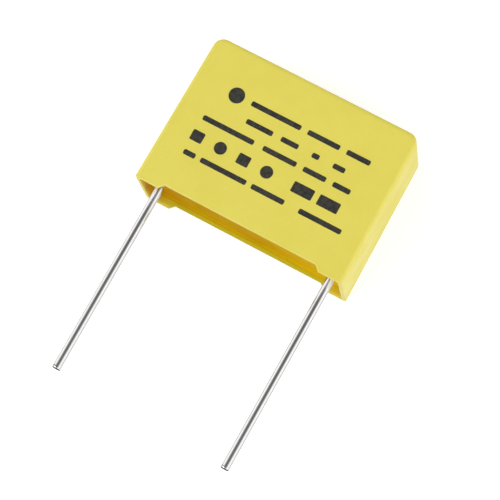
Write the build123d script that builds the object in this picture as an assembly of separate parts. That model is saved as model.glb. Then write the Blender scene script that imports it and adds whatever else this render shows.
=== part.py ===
from build123d import *
from math import radians, sin, tan
import os

# Box film capacitor with two radial leads, lying on its back face. Millimetres.
#
# Frame: the origin is the centre of the case's back face, which is the face it lies on.
# +X runs along the case from the left lead to the right one, +Y from the open, leaded side
# to the closed side, and +Z out of the front face.
#
# Every piece is drawn from the board plane first: there Y = 0 is the plane that the four
# feet stand on, which is where a circuit board would be. The last step moves all pieces
# together into the frame above.

# ---- leads ---------------------------------------------------------------------------
lead_pitch = 22.5
lead_radius = 0.5
lead_left_length = 23.1  # below the board plane
lead_right_length = 23.9
tip_chamfer = 0.06
neck_start = 0.1  # below the resin's surface
neck_length = 1.6  # from round wire to pressed wire
flat_thickness = 0.55  # of the wire where it is pressed flat for the weld
flat_width = 1.4
flat_length = 9.0  # of the pressed wire, along the sprayed end
weld_depth = 0.12  # how deep the pressed wire is sunk into the sprayed end

# ---- case --------------------------------------------------------------------------
lead_to_end = 2.1  # from a lead's axis to the outside of the end wall, at the feet
case_height = 19.0  # from the feet to the closed side
case_depth = 10.0  # from the back face to the front face
end_draft = 0.8  # degrees that each end wall leans in towards the closed side
closed_corner_radius = 1.3  # closed side to end wall, seen on the front face
long_edge_radius = 0.5  # around the front face and the back face
rim_wall = 0.5  # wall thickness at the open rim
deep_wall = 0.9  # wall thickness at the bottom of the moulded cavity
closed_wall = 1.0  # thickness of the closed side
cavity_corner_radius = 0.6
rim_rounding = 0.12  # broken outer edge of the rim

# ---- feet: both long rims are cut back between them -----------------------------------
foot_height = 0.6
foot_length = 3.0  # along the rim, from the end wall to the slope
foot_slope_run = 0.6  # how far a foot's slope runs along the case
foot_slope_rounding = 0.2

# ---- potting resin -------------------------------------------------------------------
resin_recess = 1.3  # from the board plane to the resin's surface
meniscus_rise = 0.3  # how far the resin climbs the walls
meniscus_lip = 0.05  # thickness of the resin's edge on the wall

# ---- film winding: a roll pressed flat, with sprayed metal ends -------------------------
cover_above = 1.0  # resin between the roll and the closed side
cover_below = 1.7  # resin between the roll and the resin's surface
cover_beside = 0.4  # resin between the roll and the deep end of the long walls
spray_thickness = 0.4
spray_edge_chamfer = 0.15  # the layer thins towards its edge

# ---- sizes that follow from the ones above ----------------------------------------------
case_length = lead_pitch + 2 * lead_to_end  # over the end walls, at the feet
cutback_length = case_length - 2 * (foot_length + foot_slope_run)
mid_depth = case_depth / 2
end_lean = tan(radians(end_draft))
spray_face = lead_pitch / 2 - lead_radius  # the round wires run past it, just touching
winding_length = 2 * (spray_face - spray_thickness)
winding_depth = case_depth - 2 * (deep_wall + cover_beside)
winding_bottom = resin_recess + cover_below
winding_top = case_height - closed_wall - cover_above


def half_length_at(height):
    """Half of the case's outer length, at a height above the board plane."""
    return case_length / 2 - height * end_lean


def across_y(height, offset_x=0):
    """Work plane parallel to the board at a height above it, with its normal to +Y."""
    return Plane(origin=(offset_x, height, mid_depth), x_dir=(1, 0, 0), z_dir=(0, 1, 0))


# ---- case --------------------------------------------------------------------------
def case_block():
    """The case's outer form: a drafted outline with round closed corners, rounded all along."""
    low, high = half_length_at(0), half_length_at(case_height)
    outline = Polyline(
        (-low, 0), (-high, case_height), (high, case_height), (low, 0), close=True
    )
    face = make_face(outline)
    closed_corners = face.vertices().group_by(Axis.Y)[-1]
    face = fillet(closed_corners, closed_corner_radius)
    block = extrude(face, case_depth)
    by_depth = block.edges().group_by(Axis.Z)
    long_edges = []
    for broad_face_edges in (by_depth[0], by_depth[-1]):
        open_side_edge = broad_face_edges.sort_by(Axis.Y)[0]
        long_edges += [edge for edge in broad_face_edges if edge != open_side_edge]
    return fillet(long_edges, long_edge_radius)


def cavity_section(height, wall):
    """Cross-section of the moulded cavity at a height above the board plane."""
    return across_y(height) * RectangleRounded(
        2 * (half_length_at(height) - wall), case_depth - 2 * wall, cavity_corner_radius
    )


def cavity():
    """The tapered space that the mould's core leaves, from the rim to the closed wall."""
    mouth = cavity_section(0, rim_wall)
    bottom = cavity_section(case_height - closed_wall, deep_wall)
    return loft([mouth, bottom], ruled=True)


def cutback():
    """The prism that cuts both long rims back between the feet, with sloped, rounded ends."""
    half = cutback_length / 2
    overrun = foot_height / 2
    slope = foot_slope_run / foot_height
    profile = Polyline(
        (-half - foot_slope_run - overrun * slope, -overrun),
        (-half, foot_height),
        (half, foot_height),
        (half + foot_slope_run + overrun * slope, -overrun),
        close=True,
    )
    face = make_face(profile)
    face = fillet(face.vertices().group_by(Axis.Y)[-1], foot_slope_rounding)
    return Pos(0, 0, -case_depth / 2) * extrude(face, 2 * case_depth)


def build_case():
    """The moulded box with its cavity, its cut-back rims and their outer edges softened."""
    box = case_block() - cavity() - cutback()
    back, front = box.faces().sort_by(Axis.Z)[0], box.faces().sort_by(Axis.Z)[-1]
    rim_edges = [
        edge
        for edge in back.edges() + front.edges()
        if edge.bounding_box().max.Y <= foot_height + rim_rounding
    ]
    return fillet(rim_edges, rim_rounding)


# ---- winding and its sprayed ends ------------------------------------------------------
def pressed_roll_section(start_x):
    """The flat oval of the pressed roll, on a plane across the case at start_x."""
    mid_height = (winding_bottom + winding_top) / 2
    plane = Plane(origin=(start_x, mid_height, mid_depth), x_dir=(0, 1, 0), z_dir=(1, 0, 0))
    return plane * SlotOverall(winding_top - winding_bottom, winding_depth)


def build_winding():
    """The roll of metallised film, wound along X and pressed flat."""
    return extrude(pressed_roll_section(-winding_length / 2), winding_length)


def build_end_spray(side, lead):
    """The sprayed metal layer on one end of the roll, with the groove that its lead is welded in."""
    layer = extrude(pressed_roll_section(side * winding_length / 2), side * spray_thickness)
    outer_edges = layer.edges().group_by(Axis.X)[-1 if side > 0 else 0]
    return chamfer(outer_edges, spray_edge_chamfer) - lead


# ---- leads ---------------------------------------------------------------------------
def round_section():
    """The wire's circle, in four arcs that each meet one side of the pressed section."""
    r, c = lead_radius, lead_radius * sin(radians(45))
    return make_face(
        [
            ThreePointArc((c, c), (0, r), (-c, c)),
            ThreePointArc((-c, c), (-r, 0), (-c, -c)),
            ThreePointArc((-c, -c), (0, -r), (c, -c)),
            ThreePointArc((c, -c), (r, 0), (c, c)),
        ]
    )


def pressed_section():
    """The wire pressed between flat jaws: two flats, and the bulged round edges between them."""
    x, end = flat_thickness / 2, flat_width / 2
    y = end - x
    return make_face(
        [
            ThreePointArc((x, y), (0, end), (-x, y)),
            Line((-x, y), (-x, -y)),
            ThreePointArc((-x, -y), (0, -end), (x, -y)),
            Line((x, -y), (x, y)),
        ]
    )


def build_lead(side, free_length):
    """A tinned wire: round outside the resin, then pressed flat along the sprayed end."""
    axis_x = side * lead_pitch / 2
    round_end = resin_recess + neck_start
    wire = extrude(across_y(-free_length, axis_x) * Circle(lead_radius), free_length + round_end)
    wire = chamfer(wire.edges().group_by(Axis.Y)[0], tip_chamfer)
    flat_x = side * (spray_face + flat_thickness / 2 - weld_depth)
    pressed = across_y(round_end + neck_length, flat_x) * pressed_section()
    neck = loft([across_y(round_end, axis_x) * round_section(), pressed], ruled=True)
    return wire + neck + extrude(pressed, flat_length)


# ---- resin ---------------------------------------------------------------------------
def meniscus_pan():
    """The air above the resin, with the round bottom edge that leaves the meniscus."""
    inner = cavity_section(0, rim_wall + meniscus_lip)
    pan = extrude(inner, resin_recess)
    rim = pan.edges().group_by(Axis.Y)[-1]
    return fillet(rim, meniscus_rise)


def build_resin(inner_pieces):
    """Cast resin: the cavity up to the resin's surface, less everything that it buries."""
    edge_of_resin = resin_recess - meniscus_rise
    mouth_space = Pos(0, edge_of_resin / 2, mid_depth) * Box(
        2 * case_length, edge_of_resin, 2 * case_depth
    )
    resin = cavity() - mouth_space - meniscus_pan()
    for piece in inner_pieces:
        resin = resin - piece
    return resin


def build():
    """All pieces, drawn from the board plane, by node name."""
    left, right = build_lead(-1, lead_left_length), build_lead(+1, lead_right_length)
    buried = {
        "film_winding": build_winding(),
        "end_spray_left": build_end_spray(-1, left),
        "end_spray_right": build_end_spray(+1, right),
        "lead_left": left,
        "lead_right": right,
    }
    return {"case": build_case(), "potting_resin": build_resin(buried.values()), **buried}


os.makedirs("parts", exist_ok=True)
to_rest_frame = Location((0, -case_height / 2, 0))
for node, piece in build().items():
    export_step(to_rest_frame * piece, f"parts/{node}.step")
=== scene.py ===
"""Looks of a box film capacitor: its moulded case, cast resin, tinned leads and printed face.

Everything is in metres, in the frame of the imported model: +X runs from the left lead to the
right one, +Y from the open, leaded side to the closed side, and +Z out of the front face.
The capacitor lies on its back face, so Z = 0 is also the floor.
"""

import logging
from dataclasses import dataclass, field, replace
from enum import Enum
from math import cos, pi, radians, sin

import bpy
import numpy as np
from mathutils import Matrix, Vector


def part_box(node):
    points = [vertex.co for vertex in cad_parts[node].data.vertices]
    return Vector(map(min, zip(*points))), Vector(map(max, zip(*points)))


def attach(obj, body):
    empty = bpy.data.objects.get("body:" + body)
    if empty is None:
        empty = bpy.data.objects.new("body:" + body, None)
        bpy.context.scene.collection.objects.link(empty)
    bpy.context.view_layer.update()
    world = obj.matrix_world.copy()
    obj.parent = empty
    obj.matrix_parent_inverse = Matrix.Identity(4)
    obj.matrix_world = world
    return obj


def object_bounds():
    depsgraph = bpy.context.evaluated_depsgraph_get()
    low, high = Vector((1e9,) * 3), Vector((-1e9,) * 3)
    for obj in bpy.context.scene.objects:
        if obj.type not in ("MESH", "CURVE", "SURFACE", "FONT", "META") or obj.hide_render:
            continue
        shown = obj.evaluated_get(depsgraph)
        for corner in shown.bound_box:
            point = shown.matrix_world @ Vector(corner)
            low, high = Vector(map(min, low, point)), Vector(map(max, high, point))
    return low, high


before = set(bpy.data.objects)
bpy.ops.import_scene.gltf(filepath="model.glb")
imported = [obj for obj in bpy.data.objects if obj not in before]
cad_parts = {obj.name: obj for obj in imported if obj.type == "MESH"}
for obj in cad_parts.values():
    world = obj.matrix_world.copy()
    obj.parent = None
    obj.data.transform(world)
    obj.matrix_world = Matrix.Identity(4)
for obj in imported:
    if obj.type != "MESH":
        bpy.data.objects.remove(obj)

log = logging.getLogger("capacitor")

MM = 0.001
BODY = "root"
CAD_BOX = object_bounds()
PATCH_BAND = (0.3, 0.7)  # the part of a noise's range that spreads to 0..1
LINE_STRETCH = 0.02  # how much slower a drawn line changes along the wire than across it


class Channel(Enum):
    """The Principled sockets that a pattern drives."""

    COLOUR = "Base Color"
    ROUGHNESS = "Roughness"
    METAL = "Metallic"


class MarkForm(Enum):
    """The plain shapes that the printed field is made of."""

    DASH = "dash"
    DISC = "disc"
    BLOCK = "block"


# ---- shader plumbing ---------------------------------------------------------------------
class Tree:
    """Adds nodes and links to one node tree."""

    def __init__(self, tree: bpy.types.NodeTree) -> None:
        """Keeps the tree.

        Args:
            tree: The node tree of a material, a world or a group.
        """
        self.tree = tree

    def add(self, kind: str, **settings: object) -> bpy.types.Node:
        """Adds a node and sets its properties.

        Args:
            kind: The node's type, such as ShaderNodeMath.
            **settings: Properties of the node, by name.

        Returns:
            The new node.
        """
        node = self.tree.nodes.new(kind)
        for name, value in settings.items():
            setattr(node, name, value)
        return node

    def link(self, source: bpy.types.NodeSocket, target: bpy.types.NodeSocket) -> None:
        """Joins an output socket to an input socket."""
        self.tree.links.new(source, target)

    def feed(self, target: bpy.types.NodeSocket, value: object) -> None:
        """Links a socket into the target, or writes a plain value to it.

        Args:
            target: The input socket.
            value: Another node's output socket, a number or a tuple.
        """
        if isinstance(value, bpy.types.NodeSocket):
            self.link(value, target)
        else:
            target.default_value = value

    def math(self, operation: str, *values: object) -> bpy.types.NodeSocket:
        """A Math node with its inputs in order.

        Args:
            operation: The node's operation, such as MULTIPLY.
            *values: Sockets or numbers for its inputs.

        Returns:
            Its output socket.
        """
        node = self.add("ShaderNodeMath", operation=operation)
        for target, value in zip(node.inputs, values):
            self.feed(target, value)
        return node.outputs[0]

    def ramp(
        self, value: object, low: object, high: object, to_low: float, to_high: float
    ) -> bpy.types.NodeSocket:
        """A smooth Map Range, which holds its end values outside the range.

        Args:
            value: The socket that is mapped.
            low: Where the ramp starts, as a number or a socket.
            high: Where it ends, which may be below its start.
            to_low: The result at the start.
            to_high: The result at the end.

        Returns:
            The result's socket.
        """
        node = self.add("ShaderNodeMapRange", interpolation_type="SMOOTHSTEP")
        for target, given in zip(node.inputs, (value, low, high, to_low, to_high)):
            self.feed(target, given)
        return node.outputs[0]

    def mix(self, share: object, first: object, second: object) -> bpy.types.NodeSocket:
        """A colour Mix.

        Args:
            share: How much of the second colour, from 0 to 1.
            first: The colour at 0.
            second: The colour at 1.

        Returns:
            The mixed colour's socket.
        """
        node = self.add("ShaderNodeMix", data_type="RGBA")
        share_in = node.inputs[0]
        first_in, second_in = (s for s in node.inputs if s.type == "RGBA")
        for target, value in ((share_in, share), (first_in, first), (second_in, second)):
            self.feed(target, value)
        return next(s for s in node.outputs if s.type == "RGBA")

    def noise(
        self, vector: bpy.types.NodeSocket, size: bpy.types.NodeSocket, detail: float = 2.0
    ) -> bpy.types.NodeSocket:
        """Noise whose patches are about one size across.

        Args:
            vector: The coordinates' socket, in metres.
            size: The socket with the size of a patch in metres.
            detail: How many finer layers it has.

        Returns:
            The noise value's socket, from 0 to 1.
        """
        node = self.add("ShaderNodeTexNoise")
        node.inputs["Detail"].default_value = detail
        self.link(vector, node.inputs["Vector"])
        self.link(self.math("DIVIDE", 1.0, size), node.inputs["Scale"])
        return node.outputs[0]

    def place(self) -> bpy.types.NodeSocket:
        """The socket with the Object coordinates, in metres."""
        return self.add("ShaderNodeTexCoord").outputs["Object"]

    def axes(self) -> tuple[bpy.types.NodeSocket, ...]:
        """The sockets with the X, Y and Z of the Object coordinates."""
        split = self.add("ShaderNodeSeparateXYZ")
        self.link(self.place(), split.inputs[0])
        return tuple(split.outputs)

    def shared(self, group: bpy.types.NodeTree, values: dict[str, object]) -> bpy.types.Node:
        """Places a shared node group with its own values.

        Args:
            group: The node group.
            values: The values of its inputs, by name; the rest keep their starting values.

        Returns:
            The group's node.
        """
        node = self.add("ShaderNodeGroup", node_tree=group)
        for label, value in values.items():
            node.inputs[label].default_value = value
        return node


def new_group(name: str, inputs: dict[str, object], outputs: dict[str, str]) -> tuple:
    """Makes an empty shader node group with named sockets.

    Args:
        name: The group's name.
        inputs: Each input's name and starting value: a number or a colour.
        outputs: Each output's name and socket type.

    Returns:
        The group, its Tree, its input node's outputs and its output node's inputs.
    """
    group = bpy.data.node_groups.new(name, "ShaderNodeTree")
    for label, start in inputs.items():
        kind = "NodeSocketColor" if isinstance(start, tuple) else "NodeSocketFloat"
        group.interface.new_socket(label, in_out="INPUT", socket_type=kind).default_value = start
    for label, kind in outputs.items():
        group.interface.new_socket(label, in_out="OUTPUT", socket_type=kind)
    tree = Tree(group)
    return group, tree, tree.add("NodeGroupInput").outputs, tree.add("NodeGroupOutput").inputs


def moulded_skin_group() -> bpy.types.NodeTree:
    """The surface that a spark-eroded mould leaves: fine grain over broad, shallow flow waves.

    Height = grain noise * grain weight + wave noise * (1 - grain weight).

    Returns:
        The group, with one output, Height.
    """
    group, tree, given, result = new_group(
        "moulded_skin",
        {"Grain Size": 0.1 * MM, "Wave Size": 4 * MM, "Grain Weight": 0.5},
        {"Height": "NodeSocketFloat"},
    )
    place = tree.place()
    grain = tree.noise(place, given["Grain Size"], detail=1.0)
    waves = tree.noise(place, given["Wave Size"])
    fine = tree.math("MULTIPLY", grain, given["Grain Weight"])
    broad = tree.math("MULTIPLY", waves, tree.math("SUBTRACT", 1.0, given["Grain Weight"]))
    tree.link(tree.math("ADD", fine, broad), result["Height"])
    return group


def drift_group() -> bpy.types.NodeTree:
    """A colour and a roughness that wander slowly over a surface, as in any real batch.

    Color = base mixed with other by smoothed noise * amount; Roughness = low..high by the
    same smoothed noise.

    Returns:
        The group, with outputs Color and Roughness.
    """
    group, tree, given, result = new_group(
        "surface_drift",
        {
            "Base": (0.8, 0.8, 0.8, 1.0),
            "Other": (0.7, 0.7, 0.7, 1.0),
            "Amount": 1.0,
            "Patch Size": 5 * MM,
            "Roughness Low": 0.3,
            "Roughness High": 0.4,
        },
        {"Color": "NodeSocketColor", "Roughness": "NodeSocketFloat"},
    )
    noise = tree.noise(tree.place(), given["Patch Size"], detail=4.0)
    patches = tree.ramp(noise, *PATCH_BAND, 0.0, 1.0)
    share = tree.math("MULTIPLY", patches, given["Amount"])
    tree.link(tree.mix(share, given["Base"], given["Other"]), result["Color"])
    spread = tree.math("SUBTRACT", given["Roughness High"], given["Roughness Low"])
    rough = tree.math("ADD", given["Roughness Low"], tree.math("MULTIPLY", patches, spread))
    tree.link(rough, result["Roughness"])
    return group


def drawn_wire_group() -> bpy.types.NodeTree:
    """The faint lines of a drawn and dip-tinned wire, along Y, with soft pools of tin.

    Height = noise stretched along the wire * (1 - pool weight) + broad noise * pool weight.

    Returns:
        The group, with one output, Height.
    """
    group, tree, given, result = new_group(
        "drawn_wire",
        {"Line Size": 0.08 * MM, "Pool Size": 1.5 * MM, "Pool Weight": 0.6},
        {"Height": "NodeSocketFloat"},
    )
    place = tree.place()
    stretch = tree.add("ShaderNodeMapping")
    stretch.inputs["Scale"].default_value = (1.0, LINE_STRETCH, 1.0)
    tree.link(place, stretch.inputs["Vector"])
    lines = tree.noise(stretch.outputs[0], given["Line Size"], detail=1.0)
    pools = tree.noise(place, given["Pool Size"])
    part = tree.math("MULTIPLY", pools, given["Pool Weight"])
    rest = tree.math("MULTIPLY", lines, tree.math("SUBTRACT", 1.0, given["Pool Weight"]))
    tree.link(tree.math("ADD", part, rest), result["Height"])
    return group


def cavity_film_and_painted_light_group() -> bpy.types.NodeTree:
    """Where the case's open rim gets its film, part resin and part painted shade, and its ends
    painted shade and light.

    Mask = inside(|x| + lean * depth, half length) * inside(|z - mid|, half depth)
    * inside(depth, most reaches * reach) * ramp(depth / reach), where depth is the distance
    in from the feet and inside(a, b) is 1 while a < b. Left End Shade and Right End Light rise
    over the last end length before the -X and the +X end: painted shade at -X, painted light at +X.

    Returns:
        The group, with outputs Mask, Left End Shade and Right End Light.
    """
    group, tree, given, result = new_group(
        "cavity_film_and_painted_light",
        {
            "Feet Y": -9.5 * MM,
            "Mid Z": 5 * MM,
            "Half Length": 13 * MM,
            "Half Depth": 4.7 * MM,
            "Lean": 0.014,
            "Reach": 1.3 * MM,
            "Most Reaches": 6.0,
            "End Length": 3 * MM,
        },
        {name: "NodeSocketFloat" for name in ("Mask", "Left End Shade", "Right End Light")},
    )
    x, y, z = tree.axes()
    depth = tree.math("SUBTRACT", y, given["Feet Y"])
    draft = tree.math("MULTIPLY", depth, given["Lean"])
    leaning = tree.math("ADD", tree.math("ABSOLUTE", x), draft)
    inside_ends = tree.math("LESS_THAN", leaning, given["Half Length"])
    off_middle = tree.math("ABSOLUTE", tree.math("SUBTRACT", z, given["Mid Z"]))
    inside_walls = tree.math("LESS_THAN", off_middle, given["Half Depth"])
    reaches = tree.math("DIVIDE", depth, given["Reach"])
    near_rim = tree.math("LESS_THAN", reaches, given["Most Reaches"])
    inside = tree.math("MULTIPLY", tree.math("MULTIPLY", inside_ends, inside_walls), near_rim)
    # the film grows in from the feet: partly resin film, partly painted shade in the recess
    share = tree.ramp(reaches, 0.0, 1.0, 0.0, 1.0)
    tree.link(tree.math("MULTIPLY", inside, share), result["Mask"])
    # painted shade at the -X end and painted light at the +X end
    for name, operation in (("Left End Shade", "ADD"), ("Right End Light", "SUBTRACT")):
        from_end = tree.math("ABSOLUTE", tree.math(operation, x, given["Half Length"]))
        tree.link(tree.ramp(from_end, 0.0, given["End Length"], 1.0, 0.0), result[name])
    return group


def cut_end_group() -> bpy.types.NodeTree:
    """The sheared ends of the two leads, whose tips stand at two places along Y; the Mask places
    painted shade on them.

    Depth = y - tip, with the left tip where x <= 0. Mask = 1 while depth < face depth, or
    ramp(|depth - nick depth| / nick half width) * ramp((axis - x) / nick half length) in the
    nick that one blade of the shear leaves on the -X half of each wire, if that is more.
    Height = ramp(depth / bevel length).

    Returns:
        The group, with outputs Mask and Height.
    """
    group, tree, given, result = new_group(
        "cut_end",
        {
            "Left Tip Y": -32 * MM,
            "Right Tip Y": -33 * MM,
            "Face Depth": 0.09 * MM,
            "Bevel Length": 0.2 * MM,
            "Half Pitch": 11.25 * MM,
            "Nick Depth": 0.30 * MM,
            "Nick Half Width": 0.11 * MM,
            "Nick Half Length": 0.25 * MM,
        },
        {"Mask": "NodeSocketFloat", "Height": "NodeSocketFloat"},
    )
    x, y, _ = tree.axes()
    on_right = tree.math("GREATER_THAN", x, 0.0)
    longer = tree.math("SUBTRACT", given["Right Tip Y"], given["Left Tip Y"])
    tip = tree.math("ADD", given["Left Tip Y"], tree.math("MULTIPLY", longer, on_right))
    depth = tree.math("SUBTRACT", y, tip)
    face = tree.math("LESS_THAN", depth, given["Face Depth"])
    off_nick = tree.math("ABSOLUTE", tree.math("SUBTRACT", depth, given["Nick Depth"]))
    across = tree.ramp(off_nick, 0.0, given["Nick Half Width"], 1.0, 0.0)
    axis = tree.math("MULTIPLY", tree.math("SIGN", x), given["Half Pitch"])
    from_axis = tree.math("SUBTRACT", axis, x)
    along = tree.ramp(from_axis, 0.0, given["Nick Half Length"], 0.0, 1.0)
    nick = tree.math("MULTIPLY", across, along)
    # the Mask places painted shade on the cut face and in the nick
    tree.link(tree.math("MAXIMUM", face, nick), result["Mask"])
    tree.link(tree.ramp(depth, 0.0, given["Bevel Length"], 0.0, 1.0), result["Height"])
    return group


@dataclass
class ShaderKit:
    """The node groups that several finishes share, each built once."""

    moulded_skin: bpy.types.NodeTree = field(default_factory=moulded_skin_group)
    drift: bpy.types.NodeTree = field(default_factory=drift_group)
    drawn_wire: bpy.types.NodeTree = field(default_factory=drawn_wire_group)
    cavity_film_and_painted_light: bpy.types.NodeTree = field(default_factory=cavity_film_and_painted_light_group)
    cut_end: bpy.types.NodeTree = field(default_factory=cut_end_group)


KIT = ShaderKit()


# ---- finishes ----------------------------------------------------------------------------
@dataclass(frozen=True)
class Finish:
    """A Principled material with drifting colour and roughness and a bumped surface."""

    name: str
    base: tuple[float, float, float]
    other: tuple[float, float, float]
    roughness: tuple[float, float]
    patch_size: float
    bump_depth: float
    amount: float = 1.0
    metallic: float = 0.0
    specular: float = 0.5
    edge_tint: float = 1.0

    def colour_nodes(self, tree: Tree, shader: bpy.types.Node) -> None:
        """Feeds the shader's colour and roughness from the drift group.

        Args:
            tree: The material's tree.
            shader: Its Principled node.
        """
        drift = tree.shared(KIT.drift, {
            "Base": (*self.base, 1.0),
            "Other": (*self.other, 1.0),
            "Amount": self.amount,
            "Patch Size": self.patch_size,
            "Roughness Low": self.roughness[0],
            "Roughness High": self.roughness[1],
        })
        tree.link(drift.outputs["Color"], shader.inputs[Channel.COLOUR.value])
        tree.link(drift.outputs["Roughness"], shader.inputs[Channel.ROUGHNESS.value])

    def height(self, tree: Tree) -> bpy.types.NodeSocket:
        """The surface's relief, in parts of the bump's depth, which each kind of finish gives."""
        raise NotImplementedError

    def material(self) -> bpy.types.Material:
        """Builds the material.

        Returns:
            The material, or the one that was built before under this name.
        """
        made = bpy.data.materials.get(self.name)
        if made:
            return made
        made = bpy.data.materials.new(self.name)
        made.use_nodes = True
        tree = Tree(made.node_tree)
        shader = made.node_tree.nodes["Principled BSDF"]
        shader.inputs["Metallic"].default_value = self.metallic
        shader.inputs["Specular IOR Level"].default_value = self.specular
        shader.inputs["Specular Tint"].default_value = (*(self.edge_tint,) * 3, 1.0)
        self.colour_nodes(tree, shader)
        bump = tree.add("ShaderNodeBump")
        bump.inputs["Distance"].default_value = self.bump_depth
        tree.link(self.height(tree), bump.inputs["Height"])
        tree.link(bump.outputs["Normal"], shader.inputs["Normal"])
        return made


@dataclass(frozen=True)
class MouldedPlastic(Finish):
    """Filled, flame-proof plastic with the fine grain of its mould."""

    grain_size: float = 0.22 * MM
    wave_size: float = 3.5 * MM
    grain_weight: float = 0.5

    def height(self, tree: Tree) -> bpy.types.NodeSocket:
        """Grain over flow waves."""
        skin = tree.shared(KIT.moulded_skin, {
            "Grain Size": self.grain_size,
            "Wave Size": self.wave_size,
            "Grain Weight": self.grain_weight,
        })
        return skin.outputs["Height"]


@dataclass(frozen=True)
class TinnedCopper(Finish):
    """Bright tin over drawn copper wire."""

    line_size: float = 0.15 * MM
    pool_size: float = 1.6 * MM
    pool_weight: float = 0.85

    def height(self, tree: Tree) -> bpy.types.NodeSocket:
        """Drawn lines and pools of tin."""
        wire = tree.shared(KIT.drawn_wire, {
            "Line Size": self.line_size,
            "Pool Size": self.pool_size,
            "Pool Weight": self.pool_weight,
        })
        return wire.outputs["Height"]


@dataclass(frozen=True)
class PouredResin(MouldedPlastic):
    """Cast resin, with painted shade towards the -X end and painted light towards the +X end.

    It is darker towards the -X end and paler towards the +X end: painted shade and painted light.
    Each span gives where its tone starts and is full, in half lengths from the middle. Where the
    resin climbs the walls, a darker, yellower tone rises from one distance off its edge to the
    other: painted shade along the lip, yellowed by the wall where the resin runs thinner.
    """

    # painted shade: the darker tone towards the -X end
    painted_shade: tuple[float, float, float] = (0.58, 0.27, 0.003)
    painted_shade_span: tuple[float, float] = (-0.5, -1.0)
    # painted light: the paler tone towards the +X end
    pale: tuple[float, float, float] = (0.76, 0.47, 0.004)
    painted_light_span: tuple[float, float] = (-0.1, 1.0)
    # painted shade along the lip, yellowed where the resin runs thinner over the wall
    thin_shaded: tuple[float, float, float] = (0.40, 0.34, 0.001)
    thin_shaded_share: float = 0.4
    thin_shaded_from: float = 0.30 * MM
    thin_shaded_to: float = 0.16 * MM

    def colour_nodes(self, tree: Tree, shader: bpy.types.Node) -> None:
        """Lays painted shade towards -X, painted light towards +X, and the lip's painted shade on
        the edge.

        Args:
            tree: The material's tree.
            shader: Its Principled node.
        """
        super().colour_nodes(tree, shader)
        x, y, _ = tree.axes()
        low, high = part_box("potting_resin")
        target = shader.inputs[Channel.COLOUR.value]
        colour = target.links[0].from_socket
        # painted shade towards -X, then painted light towards +X
        for (start, full), tone in ((self.painted_shade_span, self.painted_shade), (self.painted_light_span, self.pale)):
            share = tree.ramp(x, start * high.x, full * high.x, 0.0, 1.0)
            colour = tree.mix(share, colour, (*tone, 1.0))
        # painted shade along the lip where the resin climbs the walls
        off_edge = tree.math("SUBTRACT", y, low.y)
        lip_shade_share = tree.ramp(off_edge, self.thin_shaded_from, self.thin_shaded_to, 0.0, self.thin_shaded_share)
        tree.link(tree.mix(lip_shade_share, colour, (*self.thin_shaded, 1.0)), target)


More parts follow.
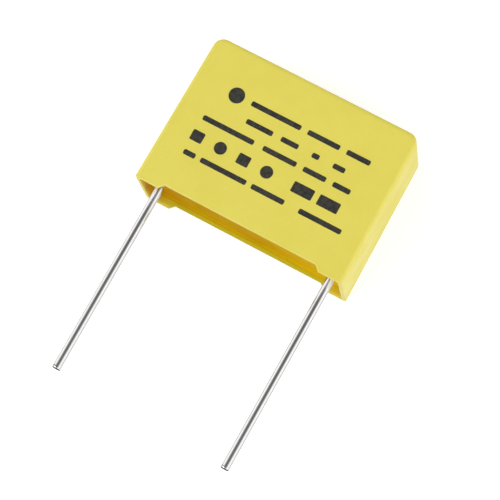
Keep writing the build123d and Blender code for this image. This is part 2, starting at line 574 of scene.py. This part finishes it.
@dataclass(frozen=True)
class CutWire(TinnedCopper):
    """The tinned wire of the leads, with painted shade on its sheared ends and a painted white
    highlight on its flanks at the root.

    The bevel's and the swell's heights are a relief of the material alone. The swell rises
    over its length on both sides of the case's rim, which leans the tin by up to 7 degrees.
    """

    # painted shade: near black on the cut face and in the shear's nick
    painted_cut_shade: tuple[float, float, float] = (0.060, 0.044, 0.035)
    # painted highlight: a matt white on the outer flanks at the root, standing in for the white
    # reflection
    painted_highlight: tuple[float, float, float] = (0.86, 0.90, 0.95)
    dull_roughness: float = 0.65
    painted_highlight_fade: float = 0.8 * MM
    painted_highlight_from: float = 0.08 * MM
    painted_highlight_to: float = 0.24 * MM
    bevel_height: float = 0.03 * MM
    swell_height: float = 0.40 * MM
    swell_length: float = 2.6 * MM

    def half_pitch(self) -> float:
        """How far each lead's axis stands from the middle, along X."""
        return sum(corner.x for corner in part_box("lead_right")) / 2

    def painted_highlight_share(self, tree: Tree) -> bpy.types.NodeSocket:
        """Where a painted white highlight lies on the outer flanks of the wires, from the rim
        inwards.

        Share = ramp(y, rim - fade, rim) * ramp(|x| - half pitch, from, to).

        Args:
            tree: The material's tree.

        Returns:
            The socket with that share.
        """
        x, y, _ = tree.axes()
        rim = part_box("case")[0].y
        inwards = tree.ramp(y, rim - self.painted_highlight_fade, rim, 0.0, 1.0)
        outwards = tree.math("SUBTRACT", tree.math("ABSOLUTE", x), self.half_pitch())
        flank = tree.ramp(outwards, self.painted_highlight_from, self.painted_highlight_to, 0.0, 1.0)
        return tree.math("MULTIPLY", inwards, flank)

    def cut_end(self, tree: Tree) -> bpy.types.Node:
        """The cut ends' group, set to the tips of the two leads."""
        return tree.shared(KIT.cut_end, {
            "Left Tip Y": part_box("lead_left")[0].y,
            "Right Tip Y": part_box("lead_right")[0].y,
            "Half Pitch": self.half_pitch(),
        })

    def colour_nodes(self, tree: Tree, shader: bpy.types.Node) -> None:
        """Lays the painted white highlight over the tin, and the painted shade of the cut ends over
        both, each dull and in its colour.

        Args:
            tree: The material's tree.
            shader: Its Principled node.
        """
        super().colour_nodes(tree, shader)
        # painted shade on the cut ends and a painted white highlight, not metallic, on the flanks
        # at the root
        cut = self.cut_end(tree).outputs["Mask"]
        painted_highlight = self.painted_highlight_share(tree)
        target = shader.inputs[Channel.COLOUR.value]
        tin = target.links[0].from_socket
        with_painted_highlight = tree.mix(painted_highlight, tin, (*self.painted_highlight, 1.0))
        tree.link(tree.mix(cut, with_painted_highlight, (*self.painted_cut_shade, 1.0)), target)
        tree.link(tree.math("SUBTRACT", 1.0, painted_highlight), shader.inputs[Channel.METAL.value])
        target = shader.inputs[Channel.ROUGHNESS.value]
        smooth = target.links[0].from_socket
        dull = tree.math("MULTIPLY", tree.math("MAXIMUM", cut, painted_highlight), self.dull_roughness)
        tree.link(tree.math("MAXIMUM", smooth, dull), target)

    def height(self, tree: Tree) -> bpy.types.NodeSocket:
        """Drawn lines and pools, the bevel that the shear leaves, and the swell at the root.

        Args:
            tree: The material's tree.

        Returns:
            The socket with their sum, in parts of the bump's depth.
        """
        bevel_parts = self.bevel_height / self.bump_depth
        swell_parts = self.swell_height / self.bump_depth
        bevel = tree.math("MULTIPLY", self.cut_end(tree).outputs["Height"], bevel_parts)
        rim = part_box("case")[0].y
        start, end = rim - self.swell_length, rim + self.swell_length
        swell = tree.ramp(tree.axes()[1], start, end, 0.0, swell_parts)
        return tree.math("ADD", super().height(tree), tree.math("ADD", bevel, swell))


@dataclass(frozen=True)
class CasePlastic(MouldedPlastic):
    """The case's plastic, with a darker film inside its open rim and painted shade and light at its
    ends.

    The film, partly a film of resin and partly painted shade in the recess, keeps off the rim's
    own face, by one width on the end walls and by another on the long walls, and is full at its
    reach in from the feet. Towards the -X end it turns to painted shade, towards the +X end to a
    brighter orange painted light.
    """

    # partly a film of resin, partly painted shade in the recess
    film: tuple[float, float, float] = (0.545, 0.460, 0.001)
    # painted shade at the -X end of the recess
    left_end_shade: tuple[float, float, float] = (0.58, 0.30, 0.002)
    # painted light at the +X end of the recess
    right_end_light: tuple[float, float, float] = (0.68, 0.445, 0.002)
    film_and_shade_strength: float = 0.95
    end_rim: float = 0.25 * MM
    long_rim: float = 0.12 * MM
    reach: float = 0.5 * MM
    lean: float = 0.014

    def colour_nodes(self, tree: Tree, shader: bpy.types.Node) -> None:
        """Lays the film and painted shade, with painted light at +X, over the drifting base colour.

        Args:
            tree: The material's tree.
            shader: Its Principled node.
        """
        super().colour_nodes(tree, shader)
        low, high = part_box("case")
        film = tree.shared(KIT.cavity_film_and_painted_light, {
            "Feet Y": low.y,
            "Mid Z": (low.z + high.z) / 2,
            "Half Length": (high.x - low.x) / 2 - self.end_rim,
            "Half Depth": (high.z - low.z) / 2 - self.long_rim,
            "Lean": self.lean,
            "Reach": self.reach,
        })
        target = shader.inputs[Channel.COLOUR.value]
        plain = target.links[0].from_socket
        # film, part resin and part painted shade, with painted shade at -X and painted light at +X
        share = tree.math("MULTIPLY", film.outputs["Mask"], self.film_and_shade_strength)
        film_shade_and_light = tree.mix(film.outputs["Left End Shade"], (*self.film, 1.0), (*self.left_end_shade, 1.0))
        film_shade_and_light = tree.mix(film.outputs["Right End Light"], film_shade_and_light, (*self.right_end_light, 1.0))
        tree.link(tree.mix(share, plain, film_shade_and_light), target)


CASE_YELLOW = CasePlastic(
    name="case_plastic_finish",
    base=(0.762, 0.670, 0.110),
    other=(0.726, 0.630, 0.089),
    roughness=(0.38, 0.50),
    patch_size=4 * MM,
    amount=0.8,
    specular=0.4,
    bump_depth=0.05 * MM,
)
CAST_RESIN = PouredResin(
    name="potting_resin_finish",
    base=(0.585, 0.345, 0.003),
    other=(0.535, 0.295, 0.002),
    roughness=(0.55, 0.68),
    patch_size=4 * MM,
    specular=0.01,
    bump_depth=0.05 * MM,
    grain_size=0.5 * MM,
    wave_size=2.6 * MM,
    grain_weight=0.15,
)
COLLAR_RESIN = replace(CAST_RESIN, name="resin_collar_finish", thin_shaded_share=0.0)
TINNED_WIRE = CutWire(
    name="tinned_wire_finish",
    base=(0.62, 0.617, 0.612),
    other=(0.585, 0.582, 0.577),
    roughness=(0.12, 0.17),
    patch_size=1.2 * MM,
    metallic=1.0,
    edge_tint=0.35,
    bump_depth=0.004 * MM,
)
SPRAYED_ZINC = MouldedPlastic(
    name="sprayed_zinc_finish",
    base=(0.46, 0.47, 0.48),
    other=(0.30, 0.31, 0.33),
    roughness=(0.55, 0.75),
    patch_size=0.5 * MM,
    metallic=1.0,
    bump_depth=0.08 * MM,
    grain_size=0.18 * MM,
    wave_size=1.2 * MM,
    grain_weight=0.7,
)
METALLISED_FILM = TinnedCopper(
    name="metallised_film_finish",
    base=(0.62, 0.60, 0.66),
    other=(0.52, 0.50, 0.57),
    roughness=(0.18, 0.30),
    patch_size=4 * MM,
    metallic=1.0,
    bump_depth=0.01 * MM,
    line_size=0.3 * MM,
    pool_size=3 * MM,
    pool_weight=0.5,
)
PRINT_INK = MouldedPlastic(
    name="print_ink_finish",
    base=(0.020, 0.020, 0.019),
    other=(0.045, 0.042, 0.030),
    roughness=(0.45, 0.60),
    patch_size=0.35 * MM,
    specular=0.3,
    bump_depth=0.003 * MM,
    grain_size=0.06 * MM,
)


# ---- surfaces ----------------------------------------------------------------------------
def mesh_piece(
    name: str,
    points: np.ndarray,
    faces: list[list[int]],
    finish: Finish,
    smooth: bool = False,
) -> bpy.types.Object:
    """Puts worked-out points and faces into a mesh and dresses it.

    Args:
        name: The piece's name.
        points: Its vertices, one row each, in metres.
        faces: Its faces, as rows of vertex numbers.
        finish: The finish that it wears.
        smooth: Whether its faces are shaded smooth.

    Returns:
        The piece, riding on the body.
    """
    mesh = bpy.data.meshes.new(name)
    mesh.from_pydata(points.tolist(), [], faces)
    mesh.polygons.foreach_set("use_smooth", np.full(len(mesh.polygons), smooth))
    mesh.materials.append(finish.material())
    mesh.update()
    piece = bpy.data.objects.new(name, mesh)
    bpy.context.scene.collection.objects.link(piece)
    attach(piece, BODY)
    log.info("%s: %d faces", name, len(mesh.polygons))
    return piece


def turned_surface(
    centre: Vector, radius: np.ndarray, along: np.ndarray, steps: int
) -> tuple[np.ndarray, np.ndarray]:
    """A closed ring profile turned about an axis parallel to Y.

    Point (i, j) = centre + (r_i sin a_j, y_i, r_i cos a_j), with a_j = 2 pi j / steps.

    Args:
        centre: A point on the axis, where the profile's along is 0.
        radius: The profile's radii, in order round the profile.
        along: The profile's places along the axis, which run to -Y.
        steps: How many steps the turn has.

    Returns:
        The points and the quads.
    """
    angle = 2 * pi * np.arange(steps) / steps
    x = centre.x + radius[:, None] * np.sin(angle)
    y = np.broadcast_to((centre.y - along)[:, None], x.shape)
    z = centre.z + radius[:, None] * np.cos(angle)
    points = np.stack([x, y, z], axis=-1).reshape(-1, 3)
    i, j = np.meshgrid(np.arange(len(radius)), np.arange(steps), indexing="ij")
    i_next, j_next = (i + 1) % len(radius), (j + 1) % steps
    quads = np.stack(
        [i * steps + j, i * steps + j_next, i_next * steps + j_next, i_next * steps + j], axis=-1
    )
    return points, quads.reshape(-1, 4)


def wear(node: str, finish: Finish) -> None:
    """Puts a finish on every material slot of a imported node.

    Args:
        node: The node's name.
        finish: The finish that it wears.
    """
    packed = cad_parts[node]
    for material_slot in packed.material_slots:
        material_slot.material = finish.material()
    log.info("%s: wears %s", node, finish.name)


# ---- sub-assemblies ----------------------------------------------------------------------
@dataclass
class MouldedCase:
    """The yellow case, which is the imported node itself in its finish."""

    node: str = "case"

    def dress(self) -> None:
        """Gives the case its plastic."""
        wear(self.node, CASE_YELLOW)


@dataclass
class PottingFill:
    """The cast resin, and the small collars where it climbs the leads."""

    node: str = "potting_resin"
    leads: tuple[str, str] = ("lead_left", "lead_right")
    resin_recess: float = 1.3 * MM
    collar_reach: float = 0.8 * MM
    collar_rise: float = 0.32 * MM
    collar_power: float = 2.5
    collar_steps: int = 64
    profile_steps: int = 14
    sunk: float = 0.05 * MM

    def dress(self) -> None:
        """Gives the resin its finish and adds a collar round each lead."""
        wear(self.node, CAST_RESIN)
        for lead in self.leads:
            self.build_collar(lead)

    def build_collar(self, lead: str) -> bpy.types.Object:
        """A concave collar: along = rise * (1 - t)^power over radius = wire + reach * t.

        Args:
            lead: The lead that the collar stands round.

        Returns:
            The collar.
        """
        low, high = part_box(lead)
        wire_radius = LeadPair.radius
        on_left = lead == self.leads[0]
        axis_x = low.x + wire_radius if on_left else high.x - wire_radius
        surface_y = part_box("case")[0].y + self.resin_recess
        centre = Vector((axis_x, surface_y, (low.z + high.z) / 2))
        t = np.linspace(0, 1, self.profile_steps)
        top_radius = wire_radius + self.collar_reach * t
        top_along = self.collar_rise * (1 - t) ** self.collar_power
        radius = np.concatenate([top_radius, [top_radius[-1], wire_radius - self.sunk]])
        along = np.concatenate([top_along, [-self.sunk, -self.sunk]])
        points, quads = turned_surface(centre, radius, along, self.collar_steps)
        name = f"resin_collar_{lead}"
        return mesh_piece(name, points, quads.tolist(), COLLAR_RESIN, True)


@dataclass
class LeadPair:
    """The two tinned leads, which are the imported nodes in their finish."""

    nodes: tuple[str, str] = ("lead_left", "lead_right")
    radius: float = 0.5 * MM

    def dress(self) -> None:
        """Gives both leads their tin."""
        for node in self.nodes:
            wear(node, TINNED_WIRE)


@dataclass
class Winding:
    """The roll of film and its sprayed ends, buried in the resin."""

    roll: str = "film_winding"
    ends: tuple[str, str] = ("end_spray_left", "end_spray_right")

    def dress(self) -> None:
        """Gives the roll and its ends their metals."""
        wear(self.roll, METALLISED_FILM)
        for node in self.ends:
            wear(node, SPRAYED_ZINC)


# Each form's corner radius, in parts of its size across the row; a disc's corners meet.
CORNER_SHARE = {MarkForm.DISC: 0.5, MarkForm.DASH: 0.3, MarkForm.BLOCK: 0.12}


@dataclass(frozen=True)
class PrintRow:
    """One row of plain marks.

    It has its height above the feet, its start from the middle, its marks' size across the
    row, and the marks: each one's form, its length along the row and the gap after it.
    """

    height: float
    start: float
    thickness: float
    marks: tuple[tuple[MarkForm, float, float], ...]


@dataclass
class PrintedField:
    """Plain dashes, discs and blocks of ink on the front face, in place of any wording."""

    ink_thickness: float = 0.012 * MM
    sunk: float = 0.004 * MM
    outline_steps: int = 12
    rows: tuple[PrintRow, ...] = (
        PrintRow(13.6 * MM, -8.6 * MM, 0.62 * MM, (
            (MarkForm.DISC, 1.9 * MM, 1.0 * MM),
            (MarkForm.DASH, 6.4 * MM, 0.9 * MM),
            (MarkForm.DASH, 4.1 * MM, 0.9 * MM),
            (MarkForm.DASH, 3.0 * MM, 0.9 * MM),
        )),
        PrintRow(11.5 * MM, -5.2 * MM, 0.62 * MM, (
            (MarkForm.DASH, 3.4 * MM, 1.1 * MM),
            (MarkForm.DASH, 2.2 * MM, 1.8 * MM),
            (MarkForm.DASH, 0.9 * MM, 1.8 * MM),
            (MarkForm.DASH, 1.5 * MM, 0.9 * MM),
        )),
        PrintRow(9.6 * MM, -9.8 * MM, 0.62 * MM, (
            (MarkForm.DASH, 6.6 * MM, 1.2 * MM),
            (MarkForm.DASH, 4.3 * MM, 0.9 * MM),
            (MarkForm.DASH, 2.9 * MM, 0.9 * MM),
            (MarkForm.DASH, 2.2 * MM, 0.9 * MM),
        )),
        PrintRow(7.3 * MM, -10.0 * MM, 1.3 * MM, (
            (MarkForm.BLOCK, 1.5 * MM, 1.5 * MM),
            (MarkForm.DISC, 1.5 * MM, 1.5 * MM),
            (MarkForm.BLOCK, 1.5 * MM, 1.5 * MM),
            (MarkForm.DISC, 1.5 * MM, 2.6 * MM),
            (MarkForm.BLOCK, 2.6 * MM, 0.7 * MM),
            (MarkForm.BLOCK, 2.6 * MM, 0.7 * MM),
        )),
        PrintRow(5.1 * MM, -9.8 * MM, 0.62 * MM, (
            (MarkForm.DASH, 1.5 * MM, 0.7 * MM),
            (MarkForm.DASH, 5.9 * MM, 0.7 * MM),
            (MarkForm.DASH, 4.2 * MM, 1.9 * MM),
            (MarkForm.DASH, 5.4 * MM, 0.9 * MM),
        )),
    )

    def outline(self, form: MarkForm, length: float, thickness: float) -> np.ndarray:
        """A mark's outline about its centre: a rectangle whose corners are quarter circles.

        A disc is as thick as it is long. CORNER_SHARE gives each form's corner radius.

        Args:
            form: The mark's form.
            length: Its length along the row.
            thickness: Its size across the row.

        Returns:
            The outline's points, anticlockwise, one row each.
        """
        across = length if form is MarkForm.DISC else thickness
        corner = CORNER_SHARE[form] * across
        turn = np.linspace(0, pi / 2, self.outline_steps)
        arcs = []
        for quarter, (to_x, to_y) in enumerate(((1, 1), (-1, 1), (-1, -1), (1, -1))):
            angle = turn + quarter * pi / 2
            x = to_x * (length / 2 - corner) + corner * np.cos(angle)
            y = to_y * (across / 2 - corner) + corner * np.sin(angle)
            arcs.append(np.stack([x, y], axis=-1))
        return np.concatenate(arcs)

    def build_row(self, number: int, row: PrintRow) -> bpy.types.Object:
        """One row of marks as closed slabs of ink, all in one piece.

        Args:
            number: The row's number, from the closed side.
            row: The row.

        Returns:
            The row's piece.
        """
        low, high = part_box("case")
        mid_x = (low.x + high.x) / 2
        points, faces, count = [], [], 0
        along = mid_x + row.start
        for form, length, gap in row.marks:
            outline = self.outline(form, length, row.thickness)
            outline = outline + (along + length / 2, low.y + row.height)
            size = len(outline)
            bottom = np.column_stack([outline, np.full(size, high.z - self.sunk)])
            top = np.column_stack([outline, np.full(size, high.z + self.ink_thickness)])
            points += [bottom, top]
            ring = np.arange(size)
            ahead = (ring + 1) % size
            sides = np.stack([ring, ahead, ahead + size, ring + size], axis=-1) + count
            faces += sides.tolist()
            faces += [(ring + size + count).tolist(), (ring[::-1] + count).tolist()]
            count += 2 * size
            along += length + gap
        return mesh_piece(f"print_row_{number}", np.concatenate(points), faces, PRINT_INK)

    def dress(self) -> None:
        """Prints every row."""
        for number, row in enumerate(self.rows, start=1):
            self.build_row(number, row)


# ---- studio ------------------------------------------------------------------------------
def seen_directly(tree: Tree) -> bpy.types.NodeSocket:
    """1 for what the camera sees straight, in a reflection or through glass, and 0 for light.

    Args:
        tree: The tree that the nodes go into.

    Returns:
        The socket with that number.
    """
    path = tree.add("ShaderNodeLightPath")
    seen = tree.math("MAXIMUM", path.outputs["Is Camera Ray"], path.outputs["Is Glossy Ray"])
    return tree.math("MAXIMUM", seen, path.outputs["Is Transmission Ray"])


@dataclass(frozen=True)
class SoftLamp:
    """A round soft lamp that shines at the capacitor."""

    name: str
    place: tuple[float, float, float]
    width: float
    power: float

    def build(self) -> None:
        """Hangs the lamp in its place."""
        light = bpy.data.lights.new(self.name, "AREA")
        light.shape = "DISK"
        light.size = self.width
        light.energy = self.power
        lamp = bpy.data.objects.new(self.name, light)
        lamp.location = self.place
        lamp.rotation_euler = (-Vector(self.place)).to_track_quat("-Z", "Y").to_euler()
        bpy.context.scene.collection.objects.link(lamp)


@dataclass(frozen=True)
class DimPatch:
    """A round part of the room that shines less than the rest.

    The angles are in degrees: its middle leans from straight up towards +X and tips towards
    +Y; it is at its dimmest within the inner angle and fades out at the outer one.
    """

    lean: float
    tip: float
    inner: float
    outer: float
    share: float

    def strength(self, tree: Tree, direction: bpy.types.NodeSocket) -> bpy.types.NodeSocket:
        """The share of the room's light that is left in each direction.

        Args:
            tree: The world's tree.
            direction: The socket with the direction that is looked at.

        Returns:
            The socket with that share.
        """
        lean, tip = radians(self.lean), radians(self.tip)
        facing = tree.add("ShaderNodeVectorMath", operation="DOT_PRODUCT")
        tree.link(direction, facing.inputs[0])
        facing.inputs[1].default_value = (sin(lean) * cos(tip), sin(tip), cos(lean) * cos(tip))
        edge, core = cos(radians(self.outer)), cos(radians(self.inner))
        return tree.ramp(facing.outputs["Value"], edge, core, 1.0, self.share)


@dataclass
class Studio:
    """A pale floor, a white room with three dimmer parts, two soft lamps, and the camera."""

    floor_size: float = 4.0
    floor_colour: tuple[float, float, float] = (0.62, 0.62, 0.62)
    floor_roughness: float = 0.9
    floor_specular: float = 0.1
    floor_glow: float = 0.61
    room_light: float = 1.7
    dim_patches: tuple[DimPatch, ...] = (
        DimPatch(lean=1.5, tip=22.0, inner=1.0, outer=67.0, share=0.095),
        DimPatch(lean=0.0, tip=90.0, inner=20.0, outer=62.0, share=0.3),
        DimPatch(lean=0.0, tip=-90.0, inner=20.0, outer=60.0, share=0.38),
    )
    lamps: tuple[SoftLamp, ...] = (
        SoftLamp("main_lamp", (-0.32, -0.22, 0.55), 0.35, 0.8),
        SoftLamp("side_lamp", (0.55, 0.24, 0.15), 0.24, 0.7),
    )
    camera_distance: float = 0.260
    camera_azimuth: float = 50.41
    camera_elevation: float = 75.68
    camera_roll: float = -21.76
    camera_lens: float = 164.3
    camera_clip: tuple[float, float] = (0.01, 10.0)
    aim_from_centre: tuple[float, float] = (1.51 * MM, 1.84 * MM)

    def build(self) -> None:
        """Sets up the floor, the room, the lamps and the camera."""
        scene = bpy.context.scene
        scene.view_settings.view_transform = "Standard"
        self.build_floor()
        self.build_room()
        for lamp in self.lamps:
            lamp.build()
        self.build_camera()

    def build_floor(self) -> None:
        """A plain pale floor that keeps the shadow and reads as near white."""
        half = self.floor_size / 2
        corners = np.array([(-half, -half, 0), (half, -half, 0), (half, half, 0), (-half, half, 0)])
        mesh = bpy.data.meshes.new("floor")
        mesh.from_pydata(corners.tolist(), [], [(0, 1, 2, 3)])
        floor = bpy.data.objects.new("floor", mesh)
        bpy.context.scene.collection.objects.link(floor)
        paper = bpy.data.materials.new("floor_paper")
        paper.use_nodes = True
        tree = Tree(paper.node_tree)
        shader = paper.node_tree.nodes["Principled BSDF"]
        shader.inputs["Base Color"].default_value = (*self.floor_colour, 1.0)
        shader.inputs["Roughness"].default_value = self.floor_roughness
        shader.inputs["Specular IOR Level"].default_value = self.floor_specular
        shader.inputs["Emission Color"].default_value = (1.0, 1.0, 1.0, 1.0)
        glow = tree.math("MULTIPLY", seen_directly(tree), self.floor_glow)
        tree.link(glow, shader.inputs["Emission Strength"])
        mesh.materials.append(paper)

    def build_room(self) -> None:
        """A white room that dims overhead and towards +Y and -Y, and looks plain white."""
        world = bpy.data.worlds.new("white_room")
        world.use_nodes = True
        bpy.context.scene.world = world
        tree = Tree(world.node_tree)
        world.node_tree.nodes.clear()
        direction = tree.add("ShaderNodeTexCoord").outputs["Generated"]
        strength = self.room_light
        for patch in self.dim_patches:
            strength = tree.math("MULTIPLY", patch.strength(tree, direction), strength)
        seen = tree.add("ShaderNodeLightPath").outputs["Is Camera Ray"]
        strength = tree.math("MAXIMUM", strength, seen)
        background = tree.add("ShaderNodeBackground")
        background.inputs["Color"].default_value = (1.0, 1.0, 1.0, 1.0)
        tree.link(strength, background.inputs["Strength"])
        output = tree.add("ShaderNodeOutputWorld")
        tree.link(background.outputs[0], output.inputs["Surface"])

    def build_camera(self) -> None:
        """The camera looks down on the front face, turned about its own axis."""
        low, high = CAD_BOX
        centre = (low + high) / 2
        aim = centre + Vector((*self.aim_from_centre, 0))
        azimuth, elevation = radians(self.camera_azimuth), radians(self.camera_elevation)
        back = Vector(
            (sin(azimuth) * cos(elevation), -cos(azimuth) * cos(elevation), sin(elevation))
        )
        roll = Matrix.Rotation(radians(self.camera_roll), 3, "Z")
        turn = back.to_track_quat("Z", "Y").to_matrix() @ roll
        data = bpy.data.cameras.new("camera")
        data.lens = self.camera_lens
        data.clip_start, data.clip_end = self.camera_clip
        camera = bpy.data.objects.new("camera", data)
        camera.matrix_world = Matrix.Translation(aim + back * self.camera_distance) @ turn.to_4x4()
        bpy.context.scene.collection.objects.link(camera)
        bpy.context.scene.camera = camera


def main() -> None:
    """Builds the studio and dresses the capacitor, piece by piece."""
    logging.basicConfig(level=logging.INFO, format="%(name)s: %(message)s")
    Studio().build()
    for part in (MouldedCase(), PottingFill(), LeadPair(), Winding(), PrintedField()):
        part.dress()


if __name__ == "__main__":
    main()
